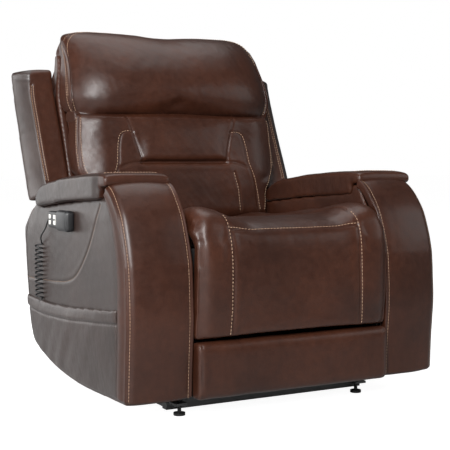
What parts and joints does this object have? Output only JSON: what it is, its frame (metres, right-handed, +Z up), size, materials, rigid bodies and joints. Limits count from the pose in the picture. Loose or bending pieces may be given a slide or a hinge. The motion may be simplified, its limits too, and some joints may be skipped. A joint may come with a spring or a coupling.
{
  "type": "lift recliner chair",
  "caption": "Upholstered lift recliner armchair: the base tilts the seat up and forward, the back reclines, the headrest tilts, the footrest swings out, and a wired handset drives it.",
  "frame": {"origin": "on the floor, under the middle of the overall bounding box", "axes": "+X towards the left arm of a person in the chair, +Y towards the back, +Z up"},
  "size_m": [0.994, 0.954, 1.0598],
  "materials": {
    "brown_leather": "soft satin grain with tan stitching",
    "black_steel": "satin powder coat",
    "zinc_steel": "bright zinc",
    "grey_plastic": "matte",
    "foot_rubber": "matte",
    "timber": "raw",
    "webbing": "woven",
    "black_plastic": "fine texture",
    "cord_rubber": "satin",
    "pale_plastic": "satin"
  },
  "bodies": {
    "base": {"base_frame": "black_steel", "base_pins": "zinc_steel", "power_supply": "grey_plastic", "lift_actuator": "grey_plastic"},
    "seat_carriage": {"carriage_frame": "black_steel", "carriage_pins": "zinc_steel", "seat_box": "timber", "seat_webbing": "webbing", "seat_cushion": "brown_leather", "arm_frame_right": "timber", "arm_frame_left": "timber", "arm_front_panel_right": "brown_leather", "arm_front_panel_left": "brown_leather", "arm_outer_panel_right": "brown_leather", "arm_outer_panel_left": "brown_leather", "arm_inner_panel_right": "brown_leather", "arm_inner_panel_left": "brown_leather", "arm_pad_right": "brown_leather", "arm_pad_left": "brown_leather", "side_pocket_right": "brown_leather", "side_pocket_left": "brown_leather", "handset_holster": "black_plastic", "coil_cord": "cord_rubber", "rear_skirt": "brown_leather", "foot_actuator": "grey_plastic", "back_actuator": "grey_plastic"},
    "lift_rod": {"lift_rod": "zinc_steel"},
    "level_foot_front_right": {"level_foot_front_right": "foot_rubber"},
    "level_foot_front_left": {"level_foot_front_left": "foot_rubber"},
    "level_foot_rear_right": {"level_foot_rear_right": "foot_rubber"},
    "level_foot_rear_left": {"level_foot_rear_left": "foot_rubber"},
    "lift_link_main": {"lift_link_main": "black_steel"},
    "lift_link_guide": {"lift_link_guide": "black_steel"},
    "foot_rod": {"foot_rod": "zinc_steel"},
    "back_rod": {"back_rod": "zinc_steel"},
    "backrest": {"back_brackets": "black_steel", "back_frame": "timber", "back_cushion": "brown_leather", "wing_right": "brown_leather", "wing_left": "brown_leather", "back_outer_panel": "brown_leather", "headrest_brackets": "black_steel"},
    "headrest": {"headrest_hinge": "black_steel", "headrest_board": "timber", "headrest_pillow": "brown_leather"},
    "footrest": {"ottoman_brackets": "black_steel", "ottoman_board": "timber", "ottoman_pad": "brown_leather"},
    "footboard": {"footboard": "timber", "footboard_rods": "zinc_steel", "footboard_pad": "brown_leather"},
    "handset": {"handset": "black_plastic"},
    "button_recline": {"button_recline": "pale_plastic"},
    "button_return": {"button_return": "pale_plastic"},
    "button_lift": {"button_lift": "pale_plastic"},
    "button_lower": {"button_lower": "pale_plastic"}
  },
  "joints": [
    {"name": "lift_raise", "type": "hinge", "parent": "base", "child": "lift_link_main", "pos_m": [0, -0.153, 0.2655], "axis": [1, 0, 0], "range_deg": [0, 75]},
    {"name": "lift_guide", "type": "hinge", "parent": "base", "child": "lift_link_guide", "pos_m": [0, -0.1524, 0.3], "axis": [1, 0, 0], "range_deg": [0, 75.5]},
    {"name": "carriage_tilt", "type": "hinge", "parent": "lift_link_main", "child": "seat_carriage", "pos_m": [0, 0.0834, 0.0808], "axis": [-1, 0, 0], "range_deg": [0, 50.5]},
    {"name": "lift_rod_slide", "type": "slide", "parent": "base", "child": "lift_rod", "axis": [0, 1, 0], "range_m": [0, 0.0857]},
    {"name": "footrest_raise", "type": "hinge", "parent": "seat_carriage", "child": "footrest", "pos_m": [0, -0.44, 0.478], "axis": [-1, 0, 0], "range_deg": [0, 88]},
    {"name": "footboard_slide", "type": "slide", "parent": "footrest", "child": "footboard", "axis": [0, 0, -1], "range_m": [0, 0.0455]},
    {"name": "foot_rod_slide", "type": "slide", "parent": "seat_carriage", "child": "foot_rod", "axis": [0, -0.9659, 0.2588], "range_m": [0, 0.1394]},
    {"name": "back_recline", "type": "hinge", "parent": "seat_carriage", "child": "backrest", "pos_m": [0, 0.21, 0.418], "axis": [-1, 0, 0], "range_deg": [0, 50]},
    {"name": "back_rod_slide", "type": "slide", "parent": "seat_carriage", "child": "back_rod", "axis": [0, -1, 0], "range_m": [0, 0.0766]},
    {"name": "headrest_tilt", "type": "hinge", "parent": "backrest", "child": "headrest", "pos_m": [0, 0.249, 0.796], "axis": [1, 0, 0], "range_deg": [0, 30]},
    {"name": "handset_slide", "type": "slide", "parent": "seat_carriage", "child": "handset", "axis": [0, 1, 0], "range_m": [0, 0.085]},
    {"name": "press_recline", "type": "slide", "parent": "handset", "child": "button_recline", "axis": [1, 0, 0], "range_m": [0, 0.001], "stiffness_N_per_m": 800},
    {"name": "press_return", "type": "slide", "parent": "handset", "child": "button_return", "axis": [1, 0, 0], "range_m": [0, 0.001], "stiffness_N_per_m": 800},
    {"name": "press_lift", "type": "slide", "parent": "handset", "child": "button_lift", "axis": [1, 0, 0], "range_m": [0, 0.001], "stiffness_N_per_m": 800},
    {"name": "press_lower", "type": "slide", "parent": "handset", "child": "button_lower", "axis": [1, 0, 0], "range_m": [0, 0.001], "stiffness_N_per_m": 800},
    {"name": "screw_foot_front_right", "type": "slide", "parent": "base", "child": "level_foot_front_right", "axis": [0, 0, 1], "range_m": [0, 0.01]},
    {"name": "screw_foot_front_left", "type": "slide", "parent": "base", "child": "level_foot_front_left", "axis": [0, 0, 1], "range_m": [0, 0.01]},
    {"name": "screw_foot_rear_right", "type": "slide", "parent": "base", "child": "level_foot_rear_right", "axis": [0, 0, 1], "range_m": [0, 0.01]},
    {"name": "screw_foot_rear_left", "type": "slide", "parent": "base", "child": "level_foot_rear_left", "axis": [0, 0, 1], "range_m": [0, 0.01]}
  ],
  "couplings": [
    {"joint": "lift_guide", "follows": "lift_raise", "ratio": 1},
    {"joint": "carriage_tilt", "follows": "lift_raise", "ratio": 0.66667},
    {"joint": "lift_rod_slide", "follows": "lift_raise", "m_per_rad": 0.065108},
    {"joint": "foot_rod_slide", "follows": "footrest_raise", "m_per_rad": 0.090457},
    {"joint": "footboard_slide", "follows": "footrest_raise", "m_per_rad": 0.029299},
    {"joint": "back_rod_slide", "follows": "back_recline", "m_per_rad": 0.087171}
  ]
}
